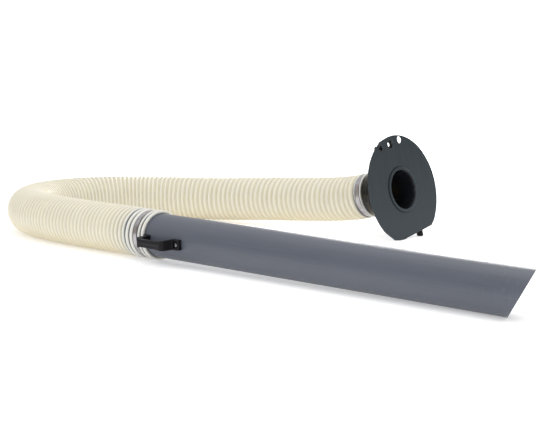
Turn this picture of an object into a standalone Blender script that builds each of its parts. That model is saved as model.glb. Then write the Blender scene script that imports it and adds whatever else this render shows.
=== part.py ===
"""Hose kit of a walk-behind litter vacuum: a 4 inch wander hose between a hand nozzle and an adapter plate.

Units are metres, +Z is up and the floor is z = 0. The nozzle lies along X with its slanted tip at +X, the
adapter plate stands on its lower edge at +Y with its machine side towards +X, and the hose joins the two
in a wide U at -X. Two frames carry the rigid pieces: the wand frame, with local Z along the nozzle towards
its tip, and the plate frame, with local Z out of the plate's machine side.
"""
import math

import bmesh
import bpy
from mathutils import Matrix, Vector

MM = 0.001
GAP = 0.3 * MM  # left between neighbouring solids
ROUND_STEPS = 48

# Standard 4 inch duct: the nozzle and the collar share one outside diameter, and the hose slides over both.
TUBE_R = 50.8 * MM
NOZZLE_WALL = 3.2 * MM
HOSE_CREST_R = 57.15 * MM
HOSE_VALLEY_R = 53.0 * MM
HOSE_BORE_R = TUBE_R + GAP

# Where the two frames stand.
NOZZLE_START = Vector((-585.25, -361.0, 57.66)) * MM
NOZZLE_DROP = math.radians(0.36)  # the tip rests on the floor, the other end on the thicker hose
PLATE_X = -367.3 * MM
PLATE_Y = 311.3 * MM
PLATE_HEADING = math.radians(5.43)
PLATE_TILT = math.radians(12.32)

# Nozzle tube, measured along its axis from the end inside the hose.
CUT_AT = 1123.9 * MM
CUT_ANGLE = math.radians(42.6)
CUT_ROLL = math.radians(44.1)  # the long side of the cut, turned from straight up towards the handle
HOSE_OVERLAP = 73.0 * MM

# Adapter plate, in its own plane: u to the right seen from the machine side's left, v up.
PLATE_R = 138.7 * MM
PLATE_CENTRE = (1.7 * MM, -1.3 * MM)  # the disc is not quite concentric with its bore
PLATE_THICKNESS = 3.2 * MM
CHORD_DISTANCE = 116.5 * MM
CHORD_ANGLE = math.radians(-78.96)
FOOT_V = -124.0 * MM  # the lower corner, which stands on the floor
FOOT_TRIM = ((-63.0 * MM, -122.0 * MM), (-46.0 * MM, FOOT_V))
CHORD_END_TRIM = 75.0 * MM
ARC_START = math.radians(-38.8)
ARC_END = math.radians(225.6)
PLATE_BORE_R = 58.0 * MM
TOP_HOLE = (19.5 * MM, 124.8 * MM, 8.8 * MM)
# Each bush: u, v, outer radius, counterbore radius, bore radius and its rear end below the plate's face.
LARGE_BUSH = (-22.0 * MM, 115.6 * MM, 11.8 * MM, 10.0 * MM, 5.0 * MM, 7.0 * MM)
SMALL_BUSH = (-63.0 * MM, 107.6 * MM, 7.9 * MM, 6.4 * MM, 3.5 * MM, 15.0 * MM)
LATCH_CORNERS = ((-58, 125), (-25, 134), (-3, 133), (-3, 101), (-52, 90), (-77, 97), (-72, 113))  # in mm

# Locating pin behind the plate, and its block.
PIN_U = 58.0 * MM
PIN_R = 8.2 * MM
PIN_DEPTH = -13.2 * MM
PIN_ROOT = -62.0 * MM
BLOCK_HALF = 13.0 * MM

# Collar behind the plate.
COLLAR_BORE_R = 48.0 * MM
COLLAR_LENGTH = 118.0 * MM
LIP_R = 57.7 * MM
LIP_PROUD = 3.0 * MM
HOSE_TAIL_END = 62.0 * MM
FLANGE_R = 72.0 * MM
FLANGE_THICKNESS = 3.0 * MM

# Worm-drive band clamps.
BAND_WIDTH = 12.0 * MM
BAND_THICKNESS = 0.8 * MM
BAND_R = HOSE_VALLEY_R + GAP
GROOVE_HALF = 8.5 * MM
WORM_DISTANCE = 59.7 * MM
WORM_CORE_R = 3.0 * MM
WORM_CREST_R = 4.1 * MM
WORM_PITCH = 3.175 * MM
HOUSING_LENGTH = 18.0 * MM
NOZZLE_CLAMP_AT = 41.0 * MM
NOZZLE_CLAMP_TURN = math.radians(-75)
PLATE_CLAMP_AT = -105.0 * MM
PLATE_CLAMP_TURN = math.radians(10)

# Handle on the nozzle's side.
HANDLE_START = 74.5 * MM
HANDLE_END = 199.0 * MM
HANDLE_TURN = math.radians(4.2)  # below the nozzle's widest line
HANDLE_REACH = 88.5 * MM
FOOT_HALF = 11.6 * MM  # half heights of its feet and of the bar between them
GRIP_HALF = 9.0 * MM
HANDLE_SCREWS = (79.8 * MM, 189.0 * MM)
SCREW_SEAT = TUBE_R + 6.5 * MM

# The hose's centreline from the plate to the nozzle, in millimetres.
ROUTE = (
    (-427.6, 305.6, 108.6),
    (-482.07, 300.4, 96.65),
    (-511.2, 297.6, 90.25),
    (-565.0, 291.2, 83.0),
    (-640.0, 280.5, 76.5),
    (-712.3, 268.7, 71.5),
    (-808.7, 248.6, 65.9),
    (-903.1, 220.4, 60.0),
    (-993.2, 180.4, 57.5),
    (-1075.4, 126.0, 57.3),
    (-1143.9, 55.1, 57.3),
    (-1189.3, -32.1, 57.3),
    (-1200.9, -129.4, 57.3),
    (-1168.9, -222.0, 57.3),
    (-1101.4, -293.2, 57.3),
    (-1012.2, -334.4, 57.3),
    (-915.1, -351.7, 57.3),
    (-816.5, -357.8, 57.4),
    (-717.8, -360.3, 57.5),
    (-650.0, -361.0, 58.0),
    (-585.25, -361.0, 57.66),
    (-512.25, -361.0, 57.2),
)
COLLAR_POINT, BEND_START, BEND_END, NOZZLE_POINT = 1, 9, 15, 20  # places in the route


def clear_scene():
    for obj in list(bpy.data.objects):
        bpy.data.objects.remove(obj, do_unlink=True)


def material(name, color, roughness, metallic=0.0):
    made = bpy.data.materials.new(name)
    made.use_nodes = True
    shader = made.node_tree.nodes["Principled BSDF"]
    shader.inputs["Base Color"].default_value = (*color, 1.0)
    shader.inputs["Roughness"].default_value = roughness
    shader.inputs["Metallic"].default_value = metallic
    return made


def link(name, data, finish, parent=None):
    obj = bpy.data.objects.new(name, data)
    bpy.context.scene.collection.objects.link(obj)
    if finish is not None:
        data.materials.append(finish)
    obj.parent = parent
    return obj


def frame(name, place, parent=None):
    empty = bpy.data.objects.new(name, None)
    bpy.context.scene.collection.objects.link(empty)
    empty.parent = parent
    empty.matrix_local = place
    return empty


def mesh_from(bm, name, sharp_angle=35):
    bmesh.ops.recalc_face_normals(bm, faces=bm.faces)
    mesh = bpy.data.meshes.new(name)
    bm.to_mesh(mesh)
    bm.free()
    mesh.shade_smooth()
    mesh.set_sharp_from_angle(angle=math.radians(sharp_angle))
    return mesh


def turned(name, profile, steps=ROUND_STEPS):
    """A closed (radius, height) outline spun round local Z. It may not touch the axis."""
    bm = bmesh.new()
    ring = [bm.verts.new((r, 0, z)) for r, z in profile]
    edges = [bm.edges.new((a, b)) for a, b in zip(ring, ring[1:] + ring[:1])]
    bmesh.ops.spin(
        bm,
        geom=ring + edges,
        cent=(0, 0, 0),
        axis=(0, 0, 1),
        angle=math.tau,
        steps=steps,
        use_merge=True,
        use_duplicate=False,
    )
    bmesh.ops.remove_doubles(bm, verts=bm.verts, dist=1e-6)
    return mesh_from(bm, name)


def extruded(name, outline, low, high):
    """A flat (x, y) outline made solid from z = low to z = high."""
    bm = bmesh.new()
    face = bm.faces.new([bm.verts.new((x, y, low)) for x, y in outline])
    grown = bmesh.ops.extrude_face_region(bm, geom=[face])
    moved = [v for v in grown["geom"] if isinstance(v, bmesh.types.BMVert)]
    bmesh.ops.translate(bm, vec=(0, 0, high - low), verts=moved)
    return mesh_from(bm, name)


def stacked(name, rings):
    """Rings of equal count, each a list of points, skinned in order and capped at both ends."""
    bm = bmesh.new()
    loops = [[bm.verts.new(p) for p in ring] for ring in rings]
    for low, high in zip(loops, loops[1:]):
        for i, corner in enumerate(low):
            after = (i + 1) % len(low)
            bm.faces.new((corner, low[after], high[after], high[i]))
    bm.faces.new(loops[0])
    bm.faces.new(loops[-1])
    return mesh_from(bm, name)


def round_outline(radius, steps=ROUND_STEPS, centre=(0, 0)):
    turns = [math.tau * i / steps for i in range(steps)]
    return [(centre[0] + radius * math.cos(t), centre[1] + radius * math.sin(t)) for t in turns]


def hex_radius(across_flats, turn):
    return across_flats / 2 / math.cos((turn % (math.pi / 3)) - math.pi / 6)


def cutter(name, mesh, target, parent=None):
    """A hidden solid that is taken out of target; it shares target's parent where none is given."""
    tool = link(name, mesh, None, parent or target.parent)
    tool.hide_render = True
    tool.display_type = "WIRE"
    cut = target.modifiers.new(name, "BOOLEAN")
    cut.operation = "DIFFERENCE"
    cut.solver = "EXACT"
    cut.object = tool
    return tool


def bevelled(obj, width, segments=2, angle=40):
    rounding = obj.modifiers.new("rounding", "BEVEL")
    rounding.width = width
    rounding.segments = segments
    rounding.limit_method = "ANGLE"
    rounding.angle_limit = math.radians(angle)


# --- frames ---------------------------------------------------------------------------------------------


def columns(x, y, z, place):
    turn = Matrix((x, y, z)).transposed().to_4x4()
    turn.translation = place
    return turn


def wand_place():
    along = Vector((math.cos(NOZZLE_DROP), 0, -math.sin(NOZZLE_DROP)))
    up = Vector((math.sin(NOZZLE_DROP), 0, math.cos(NOZZLE_DROP)))
    return columns(up, along.cross(up), along, NOZZLE_START)


def plate_place():
    level, rise = math.cos(PLATE_TILT), math.sin(PLATE_TILT)
    normal = Vector((level * math.cos(PLATE_HEADING), level * math.sin(PLATE_HEADING), rise))
    right = Vector((-math.sin(PLATE_HEADING), math.cos(PLATE_HEADING), 0))
    height = -FOOT_V * level + PLATE_THICKNESS * rise
    return columns(right, normal.cross(right), normal, Vector((PLATE_X, PLATE_Y, height)))


# --- nozzle and handle ----------------------------------------------------------------------------------


def make_nozzle(wand, finish, handle_frame):
    longest = CUT_AT + TUBE_R
    inner = TUBE_R - NOZZLE_WALL
    profile = [(inner, 0), (TUBE_R, 0), (TUBE_R, longest + TUBE_R), (inner, longest + TUBE_R)]
    tube = link("nozzle_tube", turned("nozzle_tube", profile, 64), finish, wand)
    half = 4 * TUBE_R
    square = [(-half, -half), (half, -half), (half, half), (-half, half)]
    block = extruded("slant_cut", square, 0, 2 * half)
    tool = cutter("slant_cut", block, tube)
    long_side = Vector((math.cos(CUT_ROLL), math.sin(CUT_ROLL), 0))
    normal = Vector((0, 0, 1)) * math.cos(CUT_ANGLE) - long_side * math.sin(CUT_ANGLE)
    across = normal.orthogonal().normalized()
    tool.matrix_local = columns(across, normal.cross(across), normal, Vector((0, 0, CUT_AT)))
    drill_screw_holes(tube, handle_frame)
    return tube


def drill_screw_holes(target, handle_frame):
    """A hole for each handle screw, along the handle frame's outward axis."""
    for i, at in enumerate(HANDLE_SCREWS):
        name = f"{target.name}_hole_{i + 1}"
        drill = extruded(name, round_outline(2.9 * MM, 16, (at, 0)), 35 * MM, 75 * MM)
        cutter(name, drill, target, handle_frame)


def handle_side():
    """The handle seen from above the nozzle: (along the tube, distance from its axis)."""
    rim = TUBE_R + 9.7 * MM
    sole = TUBE_R - 3 * MM
    reach = HANDLE_REACH
    grip = 9.0 * MM
    left, right = HANDLE_START, HANDLE_END
    return [
        (left, sole), (left, SCREW_SEAT), (left + 12 * MM, SCREW_SEAT), (left + 9.5 * MM, reach - 6 * MM),
        (left + 14 * MM, reach), (right - 32 * MM, reach), (right - 26 * MM, reach - 5 * MM),
        (right - 21 * MM, rim), (right, rim), (right, sole), (right - 27 * MM, sole),
        (right - 29 * MM, SCREW_SEAT + 2 * MM), (right - 34 * MM, reach - grip), (left + 21 * MM, reach - grip),
        (left + 19 * MM, SCREW_SEAT + 4 * MM), (left + 19 * MM, sole),
    ]


def grip_cut(sign):
    """What is taken off the bar above or below, so that it widens towards both feet: (along the tube, up)."""
    low, high = HANDLE_START + 16 * MM, HANDLE_END - 24 * MM
    taper = 9.0 * MM
    grip, foot, clear = sign * GRIP_HALF, sign * (FOOT_HALF + 0.01 * MM), sign * 20 * MM
    return [(low, foot), (low + taper, grip), (high - 3 * taper, grip), (high, foot), (high, clear), (low, clear)]


def make_handle(wand, finish):
    """A grab handle on two legs; its feet are hollowed to the tube's curve, and one screw sits in a pocket."""
    outward = Vector((-math.sin(HANDLE_TURN), math.cos(HANDLE_TURN), 0))
    along = Vector((0, 0, 1))
    side = frame("handle_frame", columns(along, outward.cross(along), outward, Vector()), wand)
    mesh = extruded("grab_handle", handle_side(), -FOOT_HALF, FOOT_HALF)
    mesh.transform(Matrix.Rotation(math.radians(90), 4, "X"))
    handle = link("grab_handle", mesh, finish, side)
    for sign in (-1, 1):
        waste = extruded("grip_cut", grip_cut(sign), TUBE_R - 10 * MM, HANDLE_REACH + 10 * MM)
        cutter("grip_cut", waste, handle)
    bevelled(handle, 1.6 * MM)
    cutter("saddle_cut", extruded("saddle_cut", round_outline(TUBE_R + GAP, 96), 0, 260 * MM), handle, wand)
    middle, reach = HANDLE_SCREWS[1], 6.4 * MM
    pocket = [(middle - reach, -reach), (middle + reach, -reach), (middle + reach, reach), (middle - reach, reach)]
    cutter("screw_pocket", extruded("screw_pocket", pocket, SCREW_SEAT, SCREW_SEAT + 10 * MM), handle)
    drill_screw_holes(handle, side)
    return side


def screw_rings(steps=16):
    """A pan-head screw, from its tip up to its crown."""
    levels = [(2.0, 39.5), (2.5, 40.2), (2.5, 57.6), (4.6, 57.61), (4.6, 59.2), (3.9, 60.3), (2.4, 60.9)]
    return [[(r * MM * math.cos(math.tau * i / steps), r * MM * math.sin(math.tau * i / steps), z * MM)
             for i in range(steps)] for r, z in levels]


def make_handle_fasteners(side, finish):
    """One screw, washer and nut through each foot of the handle and the nozzle's near wall."""
    seat = TUBE_R - NOZZLE_WALL - 0.6 * MM
    thickness = 1.0 * MM
    bore = 2.8 * MM
    washer = turned("handle_washer", [(bore, seat - thickness), (5.5 * MM, seat - thickness),
                                      (5.5 * MM, seat), (bore, seat)], 20)
    top = seat - thickness - GAP
    nut = hex_nut("handle_nut", bore, 8.0 * MM, top - 4.0 * MM, top)
    for mesh in (stacked("handle_screw", screw_rings()), washer, nut):
        mesh.materials.append(finish)
        for i, at in enumerate(HANDLE_SCREWS):
            link(f"{mesh.name}_{i + 1}", mesh, None, side).location = (at, 0, 0)


def hex_nut(name, bore, across_flats, low, high, steps=24):
    bm = bmesh.new()
    turns = [math.tau * i / steps for i in range(steps)]
    levels = []
    for radius_of, z in ((lambda t: bore, low), (lambda t: hex_radius(across_flats, t), low),
                         (lambda t: hex_radius(across_flats, t), high), (lambda t: bore, high)):
        levels.append([bm.verts.new((radius_of(t) * math.cos(t), radius_of(t) * math.sin(t), z)) for t in turns])
    for low_ring, high_ring in zip(levels, levels[1:] + levels[:1]):
        for i in range(steps):
            after = (i + 1) % steps
            bm.faces.new((low_ring[i], low_ring[after], high_ring[after], high_ring[i]))
    return mesh_from(bm, name)


# --- adapter plate --------------------------------------------------------------------------------------


def plate_outline():
    """A disc with a chord cut off its lower side; the corners at both ends of the chord are trimmed."""
    normal = Vector((math.cos(CHORD_ANGLE), math.sin(CHORD_ANGLE)))
    along = Vector((-normal.y, normal.x))
    middle = normal * CHORD_DISTANCE
    left_end = middle + along * ((FOOT_V - middle.y) / along.y)
    right_end = middle + along * CHORD_END_TRIM
    steps = 64
    arc = [ARC_START + (ARC_END - ARC_START) * i / steps for i in range(steps + 1)]
    u, v = PLATE_CENTRE
    outline = [(u + PLATE_R * math.cos(t), v + PLATE_R * math.sin(t)) for t in arc]
    return [*outline, *FOOT_TRIM, tuple(left_end), tuple(right_end)]


def make_plate(plate, finish):
    disc = link("adapter_plate", extruded("adapter_plate", plate_outline(), -PLATE_THICKNESS, 0), finish, plate)
    holes = [("duct_hole", 0, 0, PLATE_BORE_R, ROUND_STEPS), ("top_hole", *TOP_HOLE, 24)]
    for i, (u, v, outer, *_) in enumerate((LARGE_BUSH, SMALL_BUSH)):
        holes.append((f"bush_hole_{i + 1}", u, v, outer + GAP, 24))
    for name, u, v, radius, steps in holes:
        outline = round_outline(radius, steps, (u, v))
        cutter(name, extruded(name, outline, -10 * MM, 10 * MM), disc)


def make_latch(plate, finish, bush_finish):
    """A small bracket on the plate's rear with two stepped bushes for the machine's latch rods."""
    outline = [(u * MM, v * MM) for u, v in LATCH_CORNERS]
    top = -PLATE_THICKNESS - GAP
    bracket = link("latch_bracket", extruded("latch_bracket", outline, top - 3 * MM, top), finish, plate)
    for name, bush_sizes in (("latch_bush_large", LARGE_BUSH), ("latch_bush_small", SMALL_BUSH)):
        u, v, outer, counterbore, bore, rear = bush_sizes
        hole = extruded(f"{name}_hole", round_outline(outer + GAP, 24, (u, v)), -30 * MM, 10 * MM)
        cutter(f"{name}_hole", hole, bracket)
        profile = [(bore, -rear), (outer, -rear), (outer, 0.6 * MM), (counterbore, 0.6 * MM),
                   (counterbore, -5 * MM), (bore, -5 * MM)]
        bush = link(name, turned(name, profile, 24), bush_finish, plate)
        bush.location = (u, v, 0)


def make_pin(plate, finish):
    """A round locating pin in a block behind the plate's lower right edge; its end is level with the floor."""
    level, rise = math.cos(PLATE_TILT), math.sin(PLATE_TILT)
    height = -FOOT_V * level + PLATE_THICKNESS * rise - GAP
    turns = [math.tau * i / 20 for i in range(20)]
    rings = []
    for radius, end, lift in ((PIN_R - 0.6 * MM, PIN_ROOT, 0), (PIN_R, PIN_ROOT - 0.6 * MM, 0),
                              (PIN_R, None, 1.0 * MM), (PIN_R - 1.0 * MM, None, 0)):
        ring = []
        for turn in turns:
            depth = PIN_DEPTH + radius * math.sin(turn)
            v = lift - (height + depth * rise) / level if end is None else end
            ring.append((PIN_U + radius * math.cos(turn), v, depth))
        rings.append(ring)
    link("locating_pin", stacked("locating_pin", rings), finish, plate)
    left, right = PIN_U - BLOCK_HALF, PIN_U + BLOCK_HALF
    outline = [(left, -92 * MM), (right, -92 * MM), (right, -70 * MM), (left, -70 * MM)]
    block = extruded("pin_block", outline, PIN_DEPTH - BLOCK_HALF + 1 * MM, -PLATE_THICKNESS - GAP)
    holder = link("pin_block", block, finish, plate)
    bevelled(holder, 1.0 * MM, 1)
    bore = PIN_R + GAP
    drill_rings = [[(PIN_U + bore * math.cos(turn), v, PIN_DEPTH + bore * math.sin(turn)) for turn in turns]
                   for v in (-50 * MM, -120 * MM)]
    cutter("pin_drill", stacked("pin_drill", drill_rings), holder)


def make_collar(plate, finish):
    """The tube that the hose slides over, its rolled lip at the machine side and its flange at the rear."""
    tube = [(COLLAR_BORE_R, -COLLAR_LENGTH), (TUBE_R, -COLLAR_LENGTH), (TUBE_R, -PLATE_THICKNESS - GAP),
            (COLLAR_BORE_R, -PLATE_THICKNESS - GAP)]
    link("collar_tube", turned("collar_tube", tube), finish, plate)
    lip = [(COLLAR_BORE_R, -PLATE_THICKNESS), (LIP_R, -PLATE_THICKNESS), (LIP_R, LIP_PROUD - 1.5 * MM),
           (LIP_R - 1.5 * MM, LIP_PROUD), (COLLAR_BORE_R + 2 * MM, LIP_PROUD), (COLLAR_BORE_R, -1 * MM)]
    link("collar_lip", turned("collar_lip", lip), finish, plate)
    rear = -PLATE_THICKNESS - GAP
    flange = [(TUBE_R + GAP, rear - 9 * MM), (TUBE_R + 3.0 * MM, rear - 9 * MM),
              (TUBE_R + 5.0 * MM, rear - FLANGE_THICKNESS), (FLANGE_R, rear - FLANGE_THICKNESS),
              (FLANGE_R, rear), (TUBE_R + GAP, rear)]
    link("collar_flange", turned("collar_flange", flange), finish, plate)


# --- hose -----------------------------------------------------------------------------------------------


def ribbed_sleeve(low, high, ribs):
    """The outline of a hose end: a thin wall from low to high with (start, end, radius) ribs on it."""
    profile = [(HOSE_BORE_R, low)]
    radius = HOSE_VALLEY_R
    profile.append((radius, low))
    for start, end, crest in ribs:
        chamfer = 1.2 * MM
        if start > low:
            profile.append((radius, start))
        profile += [(crest, start + chamfer), (crest, end - chamfer if end < high else end)]
        if end < high:
            profile.append((radius, end))
    if profile[-1][1] < high:
        profile.append((radius, high))
    profile.append((HOSE_BORE_R, high))
    return profile


def make_hose_ends(wand, plate, finish):
    groove_low = NOZZLE_CLAMP_AT - GROOVE_HALF
    groove_high = NOZZLE_CLAMP_AT + GROOVE_HALF
    crest = HOSE_CREST_R
    ribs = [(11.0 * MM, 18.0 * MM, crest), (groove_low - 7.0 * MM, groove_low, crest),
            (groove_high, groove_high + 5.5 * MM, crest), (61.0 * MM, HOSE_OVERLAP, crest)]
    link("hose_end_nozzle", turned("hose_end_nozzle", ribbed_sleeve(0, HOSE_OVERLAP, ribs)), finish, wand)
    tail = PLATE_CLAMP_AT + GROOVE_HALF
    ribs = [(tail, tail + 3.5 * MM, crest), (tail + 3.6 * MM, -HOSE_TAIL_END, HOSE_VALLEY_R + 2 * MM)]
    sleeve = ribbed_sleeve(-COLLAR_LENGTH, -HOSE_TAIL_END, ribs)
    link("hose_end_plate", turned("hose_end_plate", sleeve), finish, plate)


def between(before, start, end, after, t):
    """A point on the smooth curve from start to end (Catmull-Rom)."""
    return 0.5 * (2 * start + (end - before) * t + (2 * before - 5 * start + 4 * end - after) * t * t
                  + (3 * start - before - 3 * end + after) * t ** 3)


def route_curve(first, last, per_span=2):
    """Points on the smooth curve through the route from one of its places to another."""
    points = [Vector(p) * MM for p in ROUTE]
    points = [2 * points[0] - points[1], *points, 2 * points[-1] - points[-2]]
    curve = []
    for i in range(first, last):
        for step in range(per_span):
            curve.append(between(*points[i:i + 4], step / per_span))
    curve.append(points[last + 1])
    return curve


def route_way(place):
    """The route's direction at one of its inner places."""
    return (Vector(ROUTE[place + 1]) - Vector(ROUTE[place - 1])).normalized()


def make_hose_run(name, first, last, finish):
    """A plain tube of the hose's outside diameter along one stretch, with both ends square to the route."""
    points = route_curve(first, last)
    start_way, end_way = route_way(first), route_way(last)
    start_step = (points[1] - points[0]).length
    end_step = (points[-1] - points[-2]).length
    points[1] = points[0] + start_way * start_step
    points[-2] = points[-1] - end_way * end_step
    points[0] += start_way * GAP
    points[-1] -= end_way * GAP
    curve = bpy.data.curves.new(name, "CURVE")
    curve.dimensions = "3D"
    curve.bevel_depth = HOSE_CREST_R
    curve.bevel_resolution = 4
    curve.use_fill_caps = True
    spline = curve.splines.new("POLY")
    spline.points.add(len(points) - 1)
    for target, point in zip(spline.points, points):
        target.co = (*point, 1.0)
    link(name, curve, finish)


# --- band clamps ----------------------------------------------------------------------------------------


def band_mesh(name):
    """A steel strip wound once round the hose; its tail passes under its own start beneath the housing."""
    lap = math.radians(34)
    lead = math.radians(14)
    steps = 84
    rise = BAND_THICKNESS + GAP
    rings = []
    for i in range(steps + 1):
        turn = -lead + (math.tau + lap + lead) * i / steps
        past = min(max((turn - (math.tau - 2 * lead)) / lead, 0), 1)
        radius = BAND_R + rise * past
        rings.append([(r * math.cos(turn), r * math.sin(turn), z) for r, z in (
            (radius, -BAND_WIDTH / 2), (radius + BAND_THICKNESS, -BAND_WIDTH / 2),
            (radius + BAND_THICKNESS, BAND_WIDTH / 2), (radius, BAND_WIDTH / 2))])
    return stacked(name, rings)


def housing_mesh(name):
    """An arch over the worm, with a leg down each side of the band."""
    outer_half, inner_half = 7.9 * MM, 6.4 * MM
    foot = BAND_R + 0.6 * MM
    outer_r, inner_r = WORM_CREST_R + 1.9 * MM, WORM_CREST_R + 0.4 * MM
    shoulder = WORM_DISTANCE - 1.5 * MM
    arc = [math.pi * i / 8 for i in range(9)]
    outline = [(foot, outer_half), (shoulder - 1.0 * MM, outer_half)]
    outline += [(WORM_DISTANCE + outer_r * math.sin(t), outer_r * math.cos(t)) for t in arc]
    outline += [(shoulder - 1.0 * MM, -outer_half), (foot, -outer_half), (foot, -inner_half),
                (shoulder - 2.2 * MM, -inner_half)]
    outline += [(WORM_DISTANCE + inner_r * math.sin(t), -inner_r * math.cos(t)) for t in arc]
    outline += [(shoulder - 2.2 * MM, inner_half), (foot, inner_half)]
    mesh = extruded(name, outline, -HOUSING_LENGTH / 2, HOUSING_LENGTH / 2)
    # The outline is in (radial, axial); turn it so that the extrusion runs along local Y.
    mesh.transform(Matrix(((1, 0, 0, 0), (0, 0, -1, 0), (0, 1, 0, 0), (0, 0, 0, 1))))
    return mesh


def worm_mesh(name, steps=18):
    """A worm screw along local Z: a real helical thread, a collar and a slotted hexagon head."""
    half = HOUSING_LENGTH / 2 - 0.8 * MM
    per_turn = 5
    count = round(2 * half / WORM_PITCH * per_turn)
    rings = []

    def ring(z, radius_of):
        turns = [math.tau * i / steps for i in range(steps)]
        rings.append([(radius_of(t) * math.cos(t), radius_of(t) * math.sin(t), z) for t in turns])

    for i in range(count + 1):
        z = -half + 2 * half * i / count
        ease = min(1.0, 4 * i / count, 4 * (count - i) / count)

        def thread(turn, z=z, ease=ease):
            phase = (z / WORM_PITCH - turn / math.tau) % 1
            return WORM_CORE_R + (WORM_CREST_R - WORM_CORE_R) * ease * (1 - abs(2 * phase - 1))

        ring(z, thread)
    head = HOUSING_LENGTH / 2 + 0.5 * MM
    ring(head, lambda t: WORM_CORE_R)
    ring(head + 0.01 * MM, lambda t: 5.2 * MM)
    ring(head + 1.2 * MM, lambda t: 5.2 * MM)
    ring(head + 1.21 * MM, lambda t: hex_radius(8.0 * MM, t))
    ring(head + 5.2 * MM, lambda t: hex_radius(8.0 * MM, t))
    ring(head + 5.9 * MM, lambda t: 3.6 * MM)
    return stacked(name, rings)


def make_clamp(name, parent, at, turn, finish):
    """One band clamp round local Z of its parent, its worm screw on local X turned by turn."""
    place = Matrix.Translation((0, 0, at)) @ Matrix.Rotation(turn, 4, "Z")
    clamp = frame(f"{name}_frame", place, parent)
    link(f"{name}_band", band_mesh(f"{name}_band"), finish, clamp)
    link(f"{name}_housing", housing_mesh(f"{name}_housing"), finish, clamp)
    spindle = frame(f"{name}_spindle", Matrix.Translation((WORM_DISTANCE, 0, 0))
                    @ Matrix.Rotation(math.radians(-90), 4, "X"), clamp)
    screw = link(f"{name}_screw", worm_mesh(f"{name}_screw"), finish, spindle)
    top = HOUSING_LENGTH / 2 + 6.4 * MM
    slot = [(-0.7 * MM, -6 * MM), (0.7 * MM, -6 * MM), (0.7 * MM, 6 * MM), (-0.7 * MM, 6 * MM)]
    cutter(f"{name}_slot", extruded(f"{name}_slot", slot, top - 2.2 * MM, top + 1 * MM), screw)


def main():
    clear_scene()
    grey_pvc = material("grey_pvc", (0.16, 0.175, 0.2), 0.42)
    black_plastic = material("black_plastic", (0.012, 0.012, 0.014), 0.4)
    black_tube = material("black_tube", (0.02, 0.022, 0.024), 0.3)
    charcoal_steel = material("charcoal_steel", (0.05, 0.06, 0.065), 0.45)
    steel = material("steel", (0.6, 0.6, 0.62), 0.25, 1.0)
    ivory_hose = material("ivory_hose", (0.8, 0.75, 0.6), 0.4)

    wand = frame("wand_frame", wand_place())
    plate = frame("plate_frame", plate_place())
    side = make_handle(wand, black_plastic)
    make_nozzle(wand, grey_pvc, side)
    make_handle_fasteners(side, steel)
    make_plate(plate, charcoal_steel)
    make_latch(plate, charcoal_steel, black_plastic)
    make_pin(plate, black_plastic)
    make_collar(plate, black_tube)
    make_hose_ends(wand, plate, ivory_hose)
    make_hose_run("hose_rear_run", COLLAR_POINT, BEND_START, ivory_hose)
    make_hose_run("hose_bend", BEND_START, BEND_END, ivory_hose)
    make_hose_run("hose_front_run", BEND_END, NOZZLE_POINT, ivory_hose)
    make_clamp("nozzle_clamp", wand, NOZZLE_CLAMP_AT, NOZZLE_CLAMP_TURN, steel)
    make_clamp("plate_clamp", plate, PLATE_CLAMP_AT, PLATE_CLAMP_TURN, steel)
    bpy.context.view_layer.update()


main()
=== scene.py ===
"""Hose kit of a litter vacuum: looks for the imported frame.

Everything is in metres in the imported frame. The rigid pieces are made in two local frames: the wand frame
(local Z along the nozzle, local X up, local Y towards the handle) and the plate frame (local Z out of the
machine side).
"""
import math

import bmesh
import bpy
import numpy as np
from mathutils import Matrix, Vector


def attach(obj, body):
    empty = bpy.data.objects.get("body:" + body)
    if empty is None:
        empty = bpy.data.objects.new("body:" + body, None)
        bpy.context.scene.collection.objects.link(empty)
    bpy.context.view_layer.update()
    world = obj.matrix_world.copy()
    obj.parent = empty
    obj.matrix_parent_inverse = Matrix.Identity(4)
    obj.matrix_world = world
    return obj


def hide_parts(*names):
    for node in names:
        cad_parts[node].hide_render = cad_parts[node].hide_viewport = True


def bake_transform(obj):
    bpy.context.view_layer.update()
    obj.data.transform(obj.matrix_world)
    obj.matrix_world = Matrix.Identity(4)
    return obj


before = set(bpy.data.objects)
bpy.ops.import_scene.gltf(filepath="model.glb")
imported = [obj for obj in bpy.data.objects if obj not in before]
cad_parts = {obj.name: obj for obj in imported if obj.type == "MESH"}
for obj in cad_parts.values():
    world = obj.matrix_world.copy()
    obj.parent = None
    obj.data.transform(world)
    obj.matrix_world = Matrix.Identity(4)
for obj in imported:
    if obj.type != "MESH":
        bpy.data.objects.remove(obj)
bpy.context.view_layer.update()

MM = 0.001
TUBE_R = 50.8 * MM
NOZZLE_WALL = 3.2 * MM

# The nozzle's slanted tip.
CUT_AT = 1123.9 * MM
CUT_ANGLE = math.radians(42.6)
CUT_ROLL = math.radians(44.1)

# The hose.
CREST_R = 57.15 * MM
WEB_R = 54.7 * MM
SLEEVE_R = 53.0 * MM
INNER_R = 51.1 * MM
TAIL_R = 55.0 * MM
RIB_STEP = 0.97 * MM  # between the rings of the hose's skin
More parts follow.
